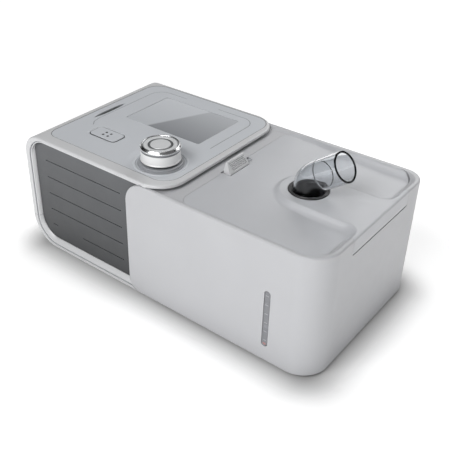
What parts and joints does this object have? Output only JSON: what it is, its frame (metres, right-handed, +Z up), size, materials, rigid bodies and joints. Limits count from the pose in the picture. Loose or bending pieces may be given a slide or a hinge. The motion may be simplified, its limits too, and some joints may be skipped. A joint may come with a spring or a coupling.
{
  "type": "mechanical ventilator",
  "caption": "Bench-top positive-pressure ventilator with top display, push knob and button, and a docked heated humidifier with flip lid and swivelling outlet elbow.",
  "frame": {"origin": "on the ground under the middle of the object's box", "axes": "+X along the length from the main unit to the humidifier, +Y from the front to the back, +Z up"},
  "size_m": [0.271, 0.1414, 0.1336],
  "materials": {
    "casing": "fine satin moulded ABS, pearl white",
    "cover": "fine satin moulded ABS, silver white",
    "fascia": "fine matt painted plastic, cool grey",
    "lid": "fine matt moulded plastic, cool grey",
    "front_panel": "fine matt dark grey plastic",
    "display": "smooth tinted acrylic over an unlit display",
    "chrome": "polished plating",
    "satin_silver": "satin silver, turned",
    "dark_plastic": "fine matt black plastic",
    "blower_plastic": "natural moulded plastic",
    "rubber": "soft matt black rubber",
    "clear_plastic": "clear polycarbonate",
    "window": "smoke-grey translucent plastic",
    "circuit_board": "green solder mask",
    "flat_cable": "flat flexible cable",
    "steel": "plain machined steel",
    "aluminium": "plain machined aluminium",
    "foam": "open-cell foam",
    "filter_pad": "white non-woven felt"
  },
  "bodies": {
    "main_unit": {"upper_housing": "casing", "lower_housing": "casing", "front_bezel": "casing", "front_panel": "front_panel", "rear_panel": "casing", "main_foot_1": "rubber", "main_foot_2": "rubber", "main_foot_3": "rubber", "main_foot_4": "rubber", "top_panel": "fascia", "display_window": "display", "lcd_module": "dark_plastic", "knob_collar": "dark_plastic", "encoder_body": "dark_plastic", "control_board": "circuit_board", "ribbon_cable": "flat_cable", "card_socket": "steel", "main_board": "circuit_board", "blower_lower_volute": "blower_plastic", "blower_upper_volute": "blower_plastic", "motor_stator": "dark_plastic", "blower_mount_1": "rubber", "blower_mount_2": "rubber", "blower_mount_3": "rubber", "outlet_duct": "rubber", "muffler_foam": "foam", "power_inlet": "dark_plastic", "dock_connector": "dark_plastic"},
    "impeller": {"impeller": "blower_plastic", "motor_shaft": "steel"},
    "filter_cover": {"filter_cover": "fascia", "air_filter": "filter_pad"},
    "memory_card": {"memory_card": "dark_plastic"},
    "menu_button": {"menu_button": "fascia"},
    "encoder_rotor": {"encoder_rotor": "steel"},
    "knob": {"encoder_shaft": "steel", "knob_body": "satin_silver", "knob_chrome_ring": "chrome", "knob_cap": "satin_silver"},
    "humidifier": {"humidifier_shell": "cover", "humidifier_base": "dark_plastic", "humidifier_foot_1": "rubber", "humidifier_foot_2": "rubber", "humidifier_foot_3": "rubber", "humidifier_foot_4": "rubber", "level_window": "window", "dock_socket": "dark_plastic", "heater_plate": "aluminium", "water_tank": "clear_plastic", "tank_heat_plate": "steel", "inlet_duct": "rubber"},
    "lid": {"lid": "lid", "lid_hinge_pin": "steel", "lid_liner": "clear_plastic", "lid_seal": "rubber", "outlet_seal": "rubber"},
    "lid_latch": {"lid_latch": "lid"},
    "outlet_elbow": {"outlet_elbow": "clear_plastic", "outlet_tube": "clear_plastic"}
  },
  "joints": [
    {"name": "humidifier_undock", "type": "slide", "parent": "main_unit", "child": "humidifier", "axis": [1, 0, 0], "range_m": [0, 0.08]},
    {"name": "lid_hinge", "type": "hinge", "parent": "humidifier", "child": "lid", "pos_m": [0.1325, 0.0037, 0.094], "axis": [0, 1, 0], "range_deg": [0, 92]},
    {"name": "latch_press", "type": "hinge", "parent": "lid", "child": "lid_latch", "pos_m": [0.024, -0.0055, 0.0937], "axis": [0, -1, 0], "range_deg": [0, 8], "stiffness_Nm_per_rad": 0.2, "springref_deg": -5.73},
    {"name": "outlet_swivel", "type": "hinge", "parent": "lid", "child": "outlet_elbow", "pos_m": [0.0811, 0, 0.098], "axis": [0, 0, 1], "continuous": true},
    {"name": "knob_turn", "type": "hinge", "parent": "main_unit", "child": "encoder_rotor", "pos_m": [-0.0198, -0.0389, 0.0927], "axis": [0, 0, 1], "continuous": true},
    {"name": "knob_press", "type": "slide", "parent": "encoder_rotor", "child": "knob", "axis": [0, 0, -1], "range_m": [0, 0.0008], "stiffness_N_per_m": 1500, "springref_m": -0.0005},
    {"name": "button_press", "type": "slide", "parent": "main_unit", "child": "menu_button", "axis": [0, 0, -1], "range_m": [0, 0.0006], "stiffness_N_per_m": 600, "springref_m": -0.0005},
    {"name": "card_slide", "type": "slide", "parent": "main_unit", "child": "memory_card", "axis": [0, 0, 1], "range_m": [0, 0.026]},
    {"name": "filter_cover_slide", "type": "slide", "parent": "main_unit", "child": "filter_cover", "axis": [0, 1, 0], "range_m": [0, 0.03]},
    {"name": "impeller_spin", "type": "hinge", "parent": "main_unit", "child": "impeller", "pos_m": [-0.066, 0, 0.06], "axis": [0, 0, 1], "continuous": true}
  ]
}
